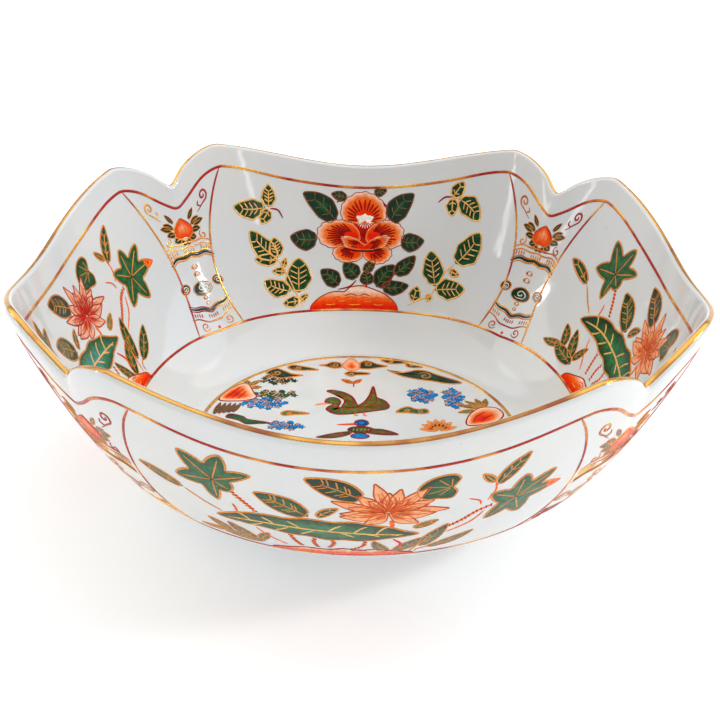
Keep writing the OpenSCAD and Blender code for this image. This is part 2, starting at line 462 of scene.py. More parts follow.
# %% [markdown]
# Three lines ring the inside and two ring the outside, each at its own level on the wall. The dividers are
# drawn last, from the well or the base line up to the frame.

# %% Rings and dividers
WELL_LEVEL, BASE_LINE_LEVEL, MEDALLION_LEVEL = (rise / WALL_HEIGHT for rise in (15.4, 16, 0.2))
DIVIDER_TOP = frame_level(32.5)
for name, wall, level, width, node, finish in (
        ("inner_frame_bead", inner_wall, frame_level(turns), 1.4, "inner_frame_line", line_gold),
        ("outer_frame_bead", outer_wall, frame_level(turns), 1.4, "outer_frame_line", line_gold),
        ("well_bead", inner_wall, WELL_LEVEL, 1.3, "well_line", line_gold),
        ("base_bead", outer_wall, BASE_LINE_LEVEL, 1.2, "outer_base_line", line_gold),
        ("medallion_bead", inner_wall, MEDALLION_LEVEL, 1.8, "medallion_line", lip_gold)):
    line_piece(name, [wall_bead(wall, turns, level + 0 * turns, width, looped=True)], node, finish)


def dividers(wall, low, widest):
    """Eight bowed lines, two to a side: angle from the side = widest less a parabola in the level."""
    t = np.linspace(low, DIVIDER_TOP, 64)
    angle = widest - 7 * ((t - 0.47) / 0.45) ** 2
    return [wall_bead(wall, side + hand * angle, t, 1.1) for side in SIDES for hand in (-1, 1)]


line_piece("inner_divider_beads", dividers(inner_wall, WELL_LEVEL, 39.5), "inner_dividers")
line_piece("outer_divider_beads", dividers(outer_wall, BASE_LINE_LEVEL, 37.0), "outer_dividers")

# %% [markdown]
# ## Flat designs and charts
# The decorator pounces one drawing onto each panel, then paints it by hand. Here each drawing is made once,
# on a flat sheet measured in millimetres, as marks with a little thickness. A chart then lays the sheet on
# a wall: u runs round the bowl from the middle of the side, v runs up the wall, and w stands off the glaze.

# %% Charts
def wall_chart(wall, side, start, hand, widen=1.0):
    """u becomes an angle, u / radius, either way round; v becomes the level at that arc length above the
    start. Widen stretches u where a panel is broader."""
    t = np.linspace(start, 1, 400)
    middle = wall(side, t)
    radius = np.hypot(middle[:, 0], middle[:, 1])
    length = np.append(0, np.cumsum(np.linalg.norm(np.diff(middle, axis=0), axis=1)))

    def place(uvw):
        level = np.interp(uvw[:, 1], length, t)
        angle = side + hand * widen * np.degrees(uvw[:, 0] / np.interp(level, t, radius))
        return wall(angle, level, uvw[:, 2])
    return place


def floor_chart(uvw):
    """The floor of the bowl is flat, then curls up as the wall does at the same radius."""
    t = np.linspace(0, 0.1, 60)
    middle = inner_wall(0, t)
    height = np.interp(np.hypot(uvw[:, 0], uvw[:, 1]), middle[:, 0], middle[:, 2])
    return np.stack([uvw[:, 0], uvw[:, 1], height + uvw[:, 2]], -1)


inner_charts = {side: wall_chart(inner_wall, side, WELL_LEVEL, -1) for side in range(0, 360, 45)}
outer_charts = {side: wall_chart(outer_wall, side, BASE_LINE_LEVEL, 1, 1.2 if side % 90 else 1.0)
    for side in range(0, 360, 45)}
print("charts:", len(inner_charts) + len(outer_charts) + 1)

# %% [markdown]
# ## Marks of the brush
# Two marks make almost everything: a line that swells and tapers, and a filled shape with a soft rounded
# edge whose colour changes from its heart to its rim. Leaves, petals and scrolls are built from these two.

# %% Curves, strokes and fills
def paint(red, green, blue):
    """A display colour, 0 to 255, as the linear light that shaders use."""
    c = np.array([red, green, blue]) / 255
    return np.where(c < 0.04045, c / 12.92, ((c + 0.055) / 1.055) ** 2.4)


def curve(points, steps=20, closed=False):
    """Smooth curve through points: cubic pieces whose slopes come from their neighbours."""
    p = np.asarray(points, float)
    if closed:
        p = np.concatenate([p[-2:], p, p[:3]])
    slope = np.gradient(p, axis=0)
    s = np.linspace(2, len(p) - 3, steps + 1)[:-1] if closed else np.linspace(0, len(p) - 1, steps)
    i = np.minimum(s.astype(int), len(p) - 2)
    x = (s - i)[:, None]
    return ((1 + 2 * x) * (1 - x) ** 2 * p[i] + x * (1 - x) ** 2 * slope[i]
            + x * x * (3 - 2 * x) * p[i + 1] + x * x * (x - 1) * slope[i + 1])


def mark(design, layer, rings, colours, looped=False):
    """Adds a skin of flat rings and their colours to one layer of a design."""
    colours = np.broadcast_to(colours, rings.shape)
    design.setdefault(layer, []).append(skin(np.concatenate([rings, colours], -1), looped))


def stroke(design, layer, path, width, colour, height=0.2, closed=False, steps=None):
    """A brush line: an arch swept along the path, full in the middle and fine at the ends."""
    steps = steps or 6 * len(path) + 2
    path = curve(path, steps, closed)
    along = np.roll(path, -1, 0) - np.roll(path, 1, 0) if closed else np.gradient(path, axis=0)
    along = along / np.maximum(np.linalg.norm(along, axis=1, keepdims=True), 1e-6)
    across = np.stack([-along[:, 1], along[:, 0]], 1)
    swell = np.ones(len(path)) if closed else np.sqrt(1 - np.abs(np.linspace(-1, 1, len(path))) ** 3)
    sides = np.array([-1, -0.7, 0, 0.7, 1]) * width / 2
    flat = path[:, None] + (swell[:, None] * sides)[:, :, None] * across[:, None]
    lift = np.minimum(1, 2.5 * swell)[:, None]
    rise = lift * np.array([0, 0.75, 1, 0.75, 0]) * (height + 0.1) - 0.1
    mark(design, layer, np.concatenate([flat, rise[:, :, None]], -1), colour, closed)


def fill(design, layer, outline, stops, heart=None, height=0.11, washed_up=None):
    """A filled shape: copies of its outline shrunk towards its heart, coloured by stops from heart to rim,
    or from the foot of the drawing up to a given level."""
    outline = np.asarray(outline, float)
    heart = outline.mean(0) if heart is None else np.asarray(heart, float)
    size = np.linalg.norm(outline - heart, axis=1).max()
    inner = np.linspace(0, 0.8, 9 if size > 8 else 5)
    below = np.linspace(1, 0, 8 if size > 8 else 4)
    reach = np.concatenate([inner, [0.88, 0.94, 0.98, 1], below])
    rise = np.concatenate([np.ones(len(inner)), [0.97, 0.88, 0.65, 0.3], np.full(len(below), -0.9)]) * height
    flat = heart + reach[:, None, None] * (outline - heart)
    rings = np.concatenate([flat, np.broadcast_to(rise[:, None, None], flat.shape[:2] + (1,))], -1)
    where = np.linspace(0, 1, len(stops))
    share = reach[:, None] if washed_up is None else flat[..., 1] / washed_up
    shades = np.stack([np.interp(share, where, np.array(stops)[:, k]) for k in range(3)], -1)
    mark(design, layer, rings, shades)


def ellipse(x, y, half_width, half_height, count):
    """Points evenly round an ellipse."""
    a = np.radians(np.arange(count) * 360 / count)
    return np.stack([x + half_width * np.cos(a), y + half_height * np.sin(a)], 1)


print("points on a curve through three:", len(curve([(0, 0), (1, 1), (2, 0)])))

# %% [markdown]
# A leaf is a blade with a midrib. The real ones are filled with green first and drawn over with gold once
# that is fired, so here too the line lies on top of the fill. The colours are those of the old famille
# verte palette, with its iron red.

# %% Colours and leaves
RIB_POINTS = 14                    # along a leaf's midrib
TIPS = slice(1, None, 2)           # every second point of a leaf's outline, reaching its tip


def blade(base, tip, width, bend=0.0, belly=0.85, power=0.75, wave=0.0):
    """Outline of a leaf and its midrib: half width = a power of sin along the rib, which may bow sideways.
    A power above 1 gives a sharper tip, and a wave scallops the edges."""
    base, tip = np.asarray(base, float), np.asarray(tip, float)
    side = np.array([base[1] - tip[1], tip[0] - base[0]]) / np.linalg.norm(tip - base)
    s = np.linspace(0, 1, RIB_POINTS)
    rib = base + s[:, None] * (tip - base) + (bend * 4 * s * (1 - s))[:, None] * side
    ripple = 1 + wave * np.cos(np.pi * 5 * s)
    half = (width / 2 * np.abs(np.sin(np.pi * s ** belly)) ** power * ripple)[:, None] * side
    return np.concatenate([rib + half, (rib - half)[::-1][1:-1]]), rib, side


DARK_LEAF, LEAF, PAD = paint(6, 44, 22), paint(24, 84, 40), paint(30, 112, 64)
TEAL, MOSS = paint(30, 128, 118), paint(92, 104, 42)
MOSSY, DEEP, OLIVE = (MOSS, LEAF, DARK_LEAF), (LEAF, DARK_LEAF, DARK_LEAF), (MOSS, MOSS, LEAF)
GOLD, PALE_GOLD, IRON_RED = paint(226, 142, 42), paint(255, 200, 112), paint(148, 18, 4)
PEONY, ORANGE, FLAME, RAY = paint(232, 30, 0), paint(246, 108, 30), paint(242, 66, 6), paint(140, 6, 0)
PEACH, CREAM, MAPLE = paint(248, 178, 134), paint(246, 222, 204), paint(40, 100, 54)
LOTUS, LOTUS_PALE, YELLOW = paint(226, 112, 52), paint(242, 168, 118), paint(240, 172, 60)
BLUE, DARK_BLUE, WHITE = paint(0, 128, 196), paint(0, 70, 128), paint(252, 246, 232)


def outlined(design, layer, rim, stops, heart, width, line=IRON_RED, ink="stems", steps=40, height=0.11,
        lift=0.2, thin=slice(0, None, 2)):
    """A filled shape with a line of the given ink drawn round its rim, through every second point unless
    told."""
    fill(design, layer, rim, stops, heart, height)
    stroke(design, ink, rim[thin], width, line, lift, closed=True, steps=steps)


def leaf(design, base, tip, width, stops=(LEAF, LEAF, DARK_LEAF), line=GOLD, veins=3, bend=0.0,
        layer="leaves", thickness=0.85, ribs=None, belly=0.85, wave=0.0):
    """A leaf with an outline, a midrib and pairs of side veins."""
    outline, rib, side = blade(base, tip, width, bend, belly=belly, wave=wave)
    outlined(design, layer, outline, stops, rib[6], thickness, line, "outlines", 38, thin=TIPS)
    ribs = line if ribs is None else ribs
    stroke(design, "outlines", rib[1:12:3], thickness * 0.85, ribs)
    along = (rib[-1] - rib[0]) / (RIB_POINTS - 1)
    for place in np.linspace(3, 9, veins).round().astype(int):
        half = width / 2 * np.sin(np.pi * (place / (RIB_POINTS - 1)) ** belly) ** 0.75
        for hand in (-1, 1):
            end = rib[place] + along * 1.9 + hand * side * half * 0.78
            stroke(design, "outlines", [rib[place], (rib[place] + end) / 2 - along * 0.1, end], thickness
                * 0.74, ribs, steps=7)


def spray(design, rows, veins=None, **look):
    """Leaves of one look. A row is base x, base y, tip x, tip y, width and bend. Where veins isn't given, a
    leaf gets four pairs if it is over 6 wide, or else two."""
    for base_x, base_y, tip_x, tip_y, width, bend in rows:
        pairs = veins or (4 if width > 6 else 2)
        leaf(design, (base_x, base_y), (tip_x, tip_y), width, veins=pairs, bend=bend, **look)


def spiral(centre, radius, turns, start, hand=1, steps=9):
    """Points winding in from a radius to the centre: the radius falls evenly with the angle."""
    a = np.radians(start) + hand * 2 * np.pi * np.linspace(0, turns, int(steps * turns) + 3)
    r = radius * np.linspace(1, 0.12, len(a))
    return np.stack([centre[0] + r * np.cos(a), centre[1] + r * np.sin(a)], 1)


def star(centre, tips, notch, bulge):
    """Outline through the tips of a lobed leaf, falling back to a share of their distance between them. The
    edges bulge away from the centre."""
    between = centre + notch * ((tips + np.roll(tips, -1, 0)) / 2 - centre)
    corners = np.stack([tips, between], 1).reshape(-1, 2)
    s = np.linspace(0, 1, 6)[:-1, None]
    after = np.roll(corners, -1, 0)
    edges = corners[:, None] + s * (after - corners)[:, None]
    sag = np.sin(np.pi * s) * bulge
    return (edges + sag * (edges - centre) / 10).reshape(-1, 2)


def rope(design, path, width):
    """A twisted stem: a round strand, crossed by slanting dark bands as the twist comes round."""
    path = curve(path, 60)
    length = np.append(0, np.cumsum(np.linalg.norm(np.diff(path, axis=0), axis=1)))
    stroke(design, "stems", path[::4], width * 0.75, ORANGE, 0.16, steps=30)
    for place in np.arange(0.8, length[-1] - 0.4, 1.5):
        i = min(int(np.searchsorted(length, place)), 58)
        along = unit(path[i + 1] - path[i])
        slant = np.array([-along[1], along[0]]) * width * 0.6 + along * 0.45
        stroke(design, "stems", [path[i] - slant, path[i] + slant], 0.6, IRON_RED, 0.22, steps=5)


print("blade outline points:", len(blade((0, 0), (0, 10), 4)[0]))

# %% [markdown]
# ## The peony panel
# The peony is painted petal by petal. Each petal is laid in with a wash that deepens from its pale rim to
# its heart, then combed with fine red lines. Dark leaves stand behind it, and sprigs of pale-veined leaves
# fill the sides.

# %% Peony
PETAL_WASH = (PEONY,) * 4 + (FLAME,) * 4 + (ORANGE, ORANGE, PEACH, CREAM)


def petal(design, outline, heart, rays, ray_reach, height=0.13):
    """A petal: a scalloped fill, an outline, and rays combed from its heart over a share of the way to the
    rim."""
    rim = curve(outline, 72, closed=True)
    heart = np.asarray(heart, float)
    rim = heart + (rim - heart) * (1 + 0.022 * np.cos(np.arange(72) * math.tau / 6))[:, None]
    outlined(design, "petals", rim, PETAL_WASH, heart, 0.5, steps=72, height=height, lift=0.17,
        thin=slice(None))
    away = np.linalg.norm(rim - heart, axis=1)
    far = rim[away > 0.55 * away.max()]
    for k, end in enumerate(far[np.linspace(1, len(far) - 2, rays).astype(int)]):
        reach = ray_reach[1] * (0.93 + 0.07 * math.cos(k * 2.4))
        span = end - heart
        path = [heart + share * span for share in (ray_reach[0], 0.55, reach)]
        stroke(design, "petals", path, 1.15, RAY, height + 0.07, steps=8)


def mound(design, left, right, tops):
    """A rock of rounded lobes: pale tops washed down to a red base, with yellow dashes."""
    crest = [(left + (right - left) * x, y) for x, y in tops]
    rim = curve([(left - 1, 0.6), (left, 3)] + crest + [(right, 3), (right + 1, 0.6)], 60)
    base = np.stack([np.linspace(right + 1, left - 1, 20), np.full(20, 0.6)], 1)[1:-1]
    fill(design, "rocks", np.concatenate([rim, base]), (PEONY, PEONY, FLAME, ORANGE, PEACH, CREAM, PEACH),
         ((left + right) / 2, 1.2), 0.14, washed_up=max(y for x, y in tops))
    for x, reach in ((0.3, 5), (0.46, 7), (0.62, 6), (0.78, 4.6)):
        middle = left + (right - left) * x
        for rise in (4.4, 6.0, 7.4)[:3 if reach > 5.5 else 2]:
            path = [(middle - reach / 2, rise - 0.6), (middle, rise + 0.5), (middle + reach / 2, rise - 0.6)]
            stroke(design, "rocks", path, 0.8, RAY if rise > 6 else FLAME)
    stroke(design, "stems", rim[::3], 0.75, IRON_RED)
    for x, y, size in ((0.22, 2.9, 5), (0.5, 2.8, 6.5), (0.78, 2.9, 5), (0.35, 4.6, 4), (0.66, 4.5, 4.5)):
        middle = left + (right - left) * x
        stroke(design, "rocks", [(middle - size / 2, y), (middle, y - 0.3), (middle + size / 2, y)], 0.6,
            YELLOW)


def peony_panel():
    """A rock, dark leaves, the flower from its back petals to its front ones, stamens, and sprigs to each
    side."""
    design = {}
    mound(design, -24, 17, ((0.1, 6.5), (0.25, 9), (0.38, 9), (0.45, 11.3), (0.6, 12), (0.72, 10.4),
        (0.85, 8.4), (0.95, 5.5)))
    spray(design, [(-13, 43, -29, 55, 10.5, -1.5), (13, 43, 24, 56, 10.5, 1.5), (-8, 54.5, -15.5, 56, 4.6,
        0), (5, 57, 11, 58.5, 4.2, 0), (-22, 34, -35, 34.5, 9.5, 0.8), (18, 34, 29.5, 34, 8.5, -0.8),
        (-11, 12, -20, 19.5, 8, -0.5), (-2, 16, -9, 23, 8, 0), (1, 18.5, 6, 25, 4.5, 0),
        (3, 12.5, 1.5, 19.5, 6.5, 0), (7, 11.5, 15.5, 22.5, 8.5, 0.8), (15.5, 18, 25.5, 27, 7, -0.6),
        (9.5, 11.5, 22.5, 13, 7, -0.8)], 3, stops=DEEP, line=paint(128, 62, 16), thickness=0.7,
        ribs=paint(96, 92, 30), belly=0.8, wave=0.03)
    for path in ([(-12, 10), (-6, 11.6), (-2.5, 15)], [(8, 11), (13, 15), (16, 18.5)],
            [(-13, 52), (-10.5, 54)], [(2, 11), (2.5, 14)], [(9, 53), (12, 50)]):
        stroke(design, "stems", path, 0.9, IRON_RED)
    fill(design, "petals", ellipse(0.4, 37, 9, 6.5, 24), (RAY, PEONY), height=0.08)
    petal(design, [(-9, 43.5), (-11, 48), (-9.5, 52.5), (-5.5, 56.2), (0, 57.8), (5.5, 56.2), (9.5, 52.5),
        (11, 48), (9.5, 43.5), (0, 42.2)], (0.5, 44), 15, (0.3, 0.86))
    petal(design, [(-2, 39), (-6, 43), (-12, 43.8), (-18, 42.5), (-21.5, 39.5), (-22, 35.5), (-19.5, 31.8),
        (-14, 30.2), (-7, 31.5), (-1.5, 34)], (-3, 36), 13, (0.25, 0.88))
    petal(design, [(2, 39), (6, 42.8), (11, 44.2), (16, 42.8), (19.2, 40), (19.8, 35.5), (17.5, 31.8),
        (12, 30.2), (6, 31.5), (1.5, 34)], (3, 36), 13, (0.25, 0.88))
    petal(design, [(-1, 29.5), (-5, 31), (-12, 31), (-14.5, 28.5), (-13, 25.2), (-8.5, 23.4), (-3, 24.2),
        (0, 26.5)], (-3.5, 29.5), 9, (0.15, 0.74))
    petal(design, [(1, 29.5), (5, 31), (12, 31), (14.2, 28.2), (12.5, 25), (8.5, 23), (3.5, 23.8),
        (0.5, 26.5)], (3.5, 29.5), 9, (0.15, 0.74))
    petal(design, [(-11, 35.6), (-7, 36.2), (-2.5, 34.8), (1, 32.5), (4, 34.8), (8.5, 36.6), (13, 36.8),
        (12.5, 33.5), (9, 30.6), (0.5, 29.4), (-8, 30.6)], (0.8, 30.6), 14, (0.25, 0.74), height=0.19)
    stroke(design, "petals", [(-10, 30.4), (-4, 29.4), (0.5, 29.2), (5, 29.4), (10, 30.4)], 1.3,
        paint(70, 14, 6), 0.26)
    for row, count, rise in ((0, 7, 46.2), (1, 6, 45.1), (2, 5, 44.1)):
        for k in range(count):
            x = 0.8 + (k - (count - 1) / 2) * 1.15
            y = rise - 0.09 * (x - 0.8) ** 2 + 0.35 * math.cos(2.2 * k + row)
            fill(design, "stamens", ellipse(x, y, 0.72, 0.85, 10), (WHITE, WHITE, CREAM), height=0.26)
    for k in range(9):
        a = math.radians(200 + 17.5 * k)
        start = (0.9 + 2.4 * math.cos(a), 43.8 + 1.2 * math.sin(a))
        end = (0.9 + 4.6 * math.cos(a), 44.4 + 4.6 * math.sin(a))
        stroke(design, "stamens", [start, end], 0.5, CREAM, 0.24, steps=6)
    spray(design, [(-47, 46.8, -62, 46.5, 8, 1), (-45.5, 47, -45.5, 56.5, 6.4, 0), (-45, 46, -49, 40, 5.5,
        0), (-41, 25, -54.5, 37, 8.5, 1.2), (-41, 25.5, -43, 34, 6.6, 0), (-41, 24, -52, 25, 5, 0),
        (-38.5, 20.8, -37, 25, 3, 0), (-37, 19, -43.5, 19.6, 3.4, 0), (-30.5, 9, -31, 25, 12, 0),
        (-34.5, 10, -47.5, 15.5, 7.5, 1), (-30, 5.2, -38, 4.5, 5, 0), (-30, 5, -26, 8, 3, 0),
        (42.5, 53, 47.5, 59, 6, 0), (42.5, 52.5, 42.5, 45, 5.6, 0), (45.5, 52, 55.5, 43, 8.6, 1),
        (45, 24.5, 56.5, 38, 10.5, -1), (42, 21, 47, 19.6, 3.4, 0), (35.5, 13.5, 33, 29.5, 10, 0),
        (35.5, 12, 50, 14, 9, 0), (33.5, 9.5, 31.6, 6.5, 3, 0), (24.8, 5.6, 27, 12.8, 5.4, 0)],
        stops=(LEAF, DARK_LEAF, LEAF), line=PALE_GOLD, thickness=0.9, wave=0.07)
    for path in ([(-45, 46.5), (-41, 46), (-38.5, 42.5)], [(42.5, 53), (39, 53.2), (35.5, 51)]):
        stroke(design, "stems", path, 0.9, IRON_RED)
    for path in ([(-41, 25), (-38.5, 20.5), (-36, 17), (-33, 11), (-30.5, 6.5), (-28, 2)],
            [(45, 24.5), (40, 20), (37.5, 15.5), (35, 11.8), (33, 9), (27, 6), (21.5, 3)]):
        stroke(design, "outlines", path, 0.85, PALE_GOLD)
    return design


peony = peony_panel()
print("peony marks:", {layer: len(marks) for layer, marks in peony.items()})

# %% [markdown]
# ## The lotus panel
# A lotus rises over one great leaf, with maple leaves on twisted stems to each side and water grasses
# below. The petals are narrow blades of orange, each one ribbed with red.

# %% Lotus
def maple(design, centre, tips, stem, red_tip=None):
    """A lobed leaf: a star outline, a rib to each tip, and a twisted stem. One tip may have turned red."""
    centre, tips = np.asarray(centre, float), np.asarray(tips, float)
    outlined(design, "leaves", star(centre, tips, 0.64, 1.3), (DARK_LEAF, LEAF, MAPLE, LEAF, LEAF), centre,
        0.9, GOLD, "outlines", 90, thin=slice(None))
    for tip in tips:
        stroke(design, "outlines", [centre, centre + 0.86 * (tip - centre)], 0.7, GOLD)
    if red_tip is not None:
        end = tips[red_tip]
        side = np.array([centre[1] - end[1], end[0] - centre[0]]) / 6
        root = centre + 0.8 * (end - centre)
        fill(design, "petals", curve([end + 0.15 * (end - centre), root + side * 0.9, root - side * 0.9],
            20, True), (PEONY, ORANGE, ORANGE), height=0.15)
    rope(design, stem, 1.9)


def lotus_panel(petal_stops, petal_line, pad_stops):
    """One lotus panel, with colours for its petals, their lines and the great leaf."""
    design = {}
    maple(design, (-42, 44.5), ((-38.5, 57.5), (-30, 51.5), (-36.5, 41), (-41.5, 33.5), (-54, 41),
        (-51.5, 54)), [(-37, 41), (-33, 36), (-29.5, 31)])
    stroke(design, "stems", [(-37, 33.5), (-36.2, 30.5), (-36, 27.5)], 1.0, ORANGE)
    leaf(design, (-53, 34), (-68, 39.5), 4.2, veins=2)
    stroke(design, "outlines", [(-53, 34), (-47, 29.5), (-41, 26)], 0.9, GOLD)
    leaf(design, (-13.5, 34), (-29.5, 43.5), 9.4, veins=5, bend=-0.8)
    leaf(design, (-11, 34), (-4.5, 40.5), 3.6, veins=2, bend=0.6)
    leaf(design, (3, 46), (-14, 55.5), 9.6, DEEP, veins=5, bend=-0.8)
    heart = np.array([10.5, 38.5])
    for reach, spread_angle, count, first in ((16.5, 190, 8, -5), (11, 150, 5, 15)):
        for k in range(count):
            a = math.radians(first + spread_angle * k / (count - 1))
            long = reach * (1 + 0.12 * math.cos(3.1 * k))
            tip = heart + long * np.array([math.cos(a), 0.9 * math.sin(a)])
            outline, rib, side = blade(heart, tip, 4.2, 0.4 * math.cos(k), belly=1.15, power=1.15)
            outlined(design, "petals", outline, petal_stops, rib[2], 0.65, petal_line, steps=34, height=0.12,
                     lift=0.19, thin=TIPS)
            for hand in (-0.8, 0.8):
                path = [rib[1] + 0.3 * hand * side, rib[6] + hand * side, rib[10] + 0.3 * hand * side]
                stroke(design, "stems", path, 0.4, petal_line, 0.19, steps=8)
    for end, bend in (((-4, 35.5), 1.2), ((3.5, 30.8), 0.8), ((20, 30.2), -0.8), ((25, 36), -1.2)):
        outline, rib, side = blade(heart, end, 5.4, bend, belly=1.1, power=1.2)
        outlined(design, "petals", outline, petal_stops, rib[2], 0.65, petal_line, steps=34, height=0.14,
            thin=TIPS)
        stroke(design, "stems", rib[2:12:3], 0.5, petal_line)
    stroke(design, "petals", [(11.5, 33), (12, 30), (12, 27)], 1.8, ORANGE, 0.16)
    kidney = curve([(24.5, 44), (29, 43.2), (30.5, 46.5), (29.2, 49), (31, 52.5), (29, 55.2), (24, 55.2),
        (19.8, 52.2), (18.8, 47.8), (21, 44.4)], 40, True)
    outlined(design, "leaves", kidney, (LEAF, LEAF, DARK_LEAF), (27, 49), 0.8, GOLD, "outlines", 44)
    for tip in ((25, 45.5), (21.5, 47), (21, 51), (24.5, 54), (28.5, 53.8)):
        stroke(design, "outlines", [(28.6, 49), tip], 0.5, GOLD, 0.18)
    pad = curve([(-43.5, 22.5), (-35, 28.6), (-27, 31), (-20, 31), (-14, 32.5), (-6, 31.4), (0, 32),
        (6, 29.8), (11, 28.4), (16, 24.8), (20.5, 21.6), (12, 19.6), (7, 18.2), (2, 17.4), (-3, 18.2),
        (-8, 17.4), (-14, 19.4), (-20, 19.4), (-27, 21.2), (-34, 21.4)], 72, True)
    outlined(design, "leaves", pad, pad_stops, (-9, 25), 0.9, GOLD, "outlines", 80, 0.14, 0.22)
    stroke(design, "outlines", [(-41, 23), (-28, 25.2), (-12, 25), (2, 23.8), (17, 22)], 1.15, PALE_GOLD,
        0.26)
    for lift, reach, feet in ((1, 4.6, (-32, -24, -16, -8, 0, 7)), (-1, 4.4, (-28, -20, -12, -4, 4, 10))):
        for x in feet:
            end = (x + (-4.5 if x < -9 else 4.5), 25 + lift * reach - abs(x + 10) * 0.045 * lift)
            path = [(x, 24.8 - max(0, x + 12) * 0.09), ((x + end[0]) / 2, 25 + lift * 2.4), end]
            stroke(design, "outlines", path, 1.0, PALE_GOLD, 0.26)
    leaf(design, (18.5, 26.5), (26, 30.5), 3.2, OLIVE, veins=2)
    for path in ([(-20, 19), (-18.5, 14), (-16, 8.5)], [(-12, 18), (-12.5, 14), (-11, 9)],
            [(-7, 18), (-6, 14), (-8, 9)], [(4, 17), (3, 12), (-1, 8)]):
        rope(design, path, 1.7)
    stroke(design, "stems", [(-31, 20), (-27, 14), (-21, 8)], 0.8, ORANGE)
    mound(design, -26, 19, ((0.1, 5), (0.25, 7.6), (0.4, 7), (0.5, 9), (0.62, 7.4), (0.75, 8.2), (0.92, 4.6)))
    spray(design, [(-42, 9.5, -52, 7.2, 3.6, 0.5), (-40, 9, -47.5, 17.5, 4.2, -0.6), (-31, 8, -40.5, 18.5,
        5, 0.6), (-30, 8, -27, 16.5, 3.8, 0.3), (-28.5, 6.5, -45.5, 9, 5.6, 0.6), (21.5, 9, 29.5, 26.5, 5.4,
        0.5), (13, 5, 23.5, 18.5, 5.2, 0.5), (23.5, 7, 38.5, 17.5, 4.8, -0.6), (11.5, 5, 6.5, 17, 4.2,
        0.6)], 3, stops=MOSSY, thickness=0.6)
    stroke(design, "stems", [(14.5, 9), (15, 14), (12.6, 18.5)], 1.2, PEONY)
    for path in ([(22, 14), (20, 9), (18, 4)], [(24, 8), (21, 6), (20, 3.5)]):
        stroke(design, "outlines", path, 0.8, GOLD)
    centre = np.array([50, 34.5])
    maple(design, centre, centre + [(1.5, 11), (11.5, 9), (13.5, 1), (2.5, -10.5), (-9, -9.5), (-8.5, 5.5)],
          [(43, 33.6), (38, 31.5), (33, 27), (28, 23.5)], red_tip=2)
    stroke(design, "stems", [(40.5, 31), (36.5, 25), (29, 20)], 0.8, ORANGE)
    leaf(design, (42.5, 44.5), (51, 56.5), 5, veins=3, bend=0.5)
    leaf(design, (41.8, 46.5), (37.6, 52), 2.4, veins=0)
    stroke(design, "stems", [(42, 46), (42.5, 42), (40.5, 37)], 0.8, ORANGE)
    stroke(design, "stems", [(34.5, 40.5), (38, 38), (38.8, 35)], 0.8, ORANGE)
    return design


pad_green = (PAD, PAD, LEAF, DARK_LEAF)
orange_lotus = lotus_panel((FLAME, LOTUS, LOTUS, LOTUS_PALE, LOTUS_PALE, LOTUS_PALE), paint(200, 78, 30),
    pad_green)
red_lotus = lotus_panel((PEONY, PEONY, paint(210, 84, 48), paint(230, 150, 114), paint(234, 178, 146),
    paint(230, 140, 104)), paint(168, 20, 4), (TEAL, TEAL, PAD, DARK_LEAF))
print("lotus marks:", {layer: len(marks) for layer, marks in orange_lotus.items()})

# %% [markdown]
# ## The corner band
# Each notched corner carries a narrow band of ornament: a peach among tendrils, a lappet edged with a
# double line, a row of cloud scrolls, and a second lappet turned upwards. It is drawn symmetrically about
# the corner.

# %% Corner ornament
FOOT_OF_BAND = 75                  # the wall's radius at the band's foot
BAND_FLARE = 0.62                  # how fast that radius grows with v
PULL = [0, 20, 40, 60], [0.06, 0.25, 0.52, 0.9]    # at these v, how much of the notch's depth the wall has
LAPPET_WAVES = 3


def settle(points, centre):
    """Undoes the pull of the notch on a small shape: v falls by the notch's own depth away from the shape's
    middle, so that the shape keeps its form over the crease."""
    points = np.array(points, float)
    radius = FOOT_OF_BAND + BAND_FLARE * centre[1]
    depth = NOTCH_DROP * np.interp(centre[1], *PULL)
    share = [np.clip(1 - np.degrees(np.abs(u) / radius) / NOTCH_REACH, 0, 1) ** NOTCH_CURVE
             for u in (points[:, 0], centre[0])]
    points[:, 1] += depth * (share[0] - share[1])
    return points


def scroll(design, centre, width, height, hand=1):
    """A cloud head: a dark oval edged with gold, with a pale spiral curled inside it."""
    oval = settle(ellipse(*centre, width / 2, height / 2, 28), centre)
    outlined(design, "leaves", oval, DEEP, None, 0.6, GOLD, "outlines", 28)
    inner = spiral((0, 0), 1, 1.6, 200, hand) * [width * 0.36, height * 0.36]
    stroke(design, "outlines", settle(inner + centre, centre), 0.65, WHITE)


def lappet(middle, edge, half, ripple):
    """A line across the band that rises or falls from its middle to its edges and ripples as it goes."""
    x = np.linspace(-1, 1, 41)
    y = middle + (edge - middle) * np.abs(x) ** 1.3 + ripple * np.cos(np.pi * LAPPET_WAVES * x)
    return np.stack([half * x, y], 1)


def add_curl(design, centre, radius, turns, start, hand):
    """A small red tendril, wound the other way on the left."""
    path = spiral((0, 0), radius, turns, start, 1, 8) * [hand, 1] + centre
    stroke(design, "lines", settle(path, centre), 0.75, IRON_RED)


def combs(design, groups, pitch, foot, lift, half, low, high, width):
    """Groups of five short upright strokes that follow a lappet: foot + lift |x / half|^1.3."""
    for group in groups:
        for x in group + np.arange(-2, 3) * pitch:
            y = foot + lift * np.abs(x / half) ** 1.3
            stroke(design, "lines", [(x, y + low), (x, y + high)], width, IRON_RED, 0.18, steps=5)


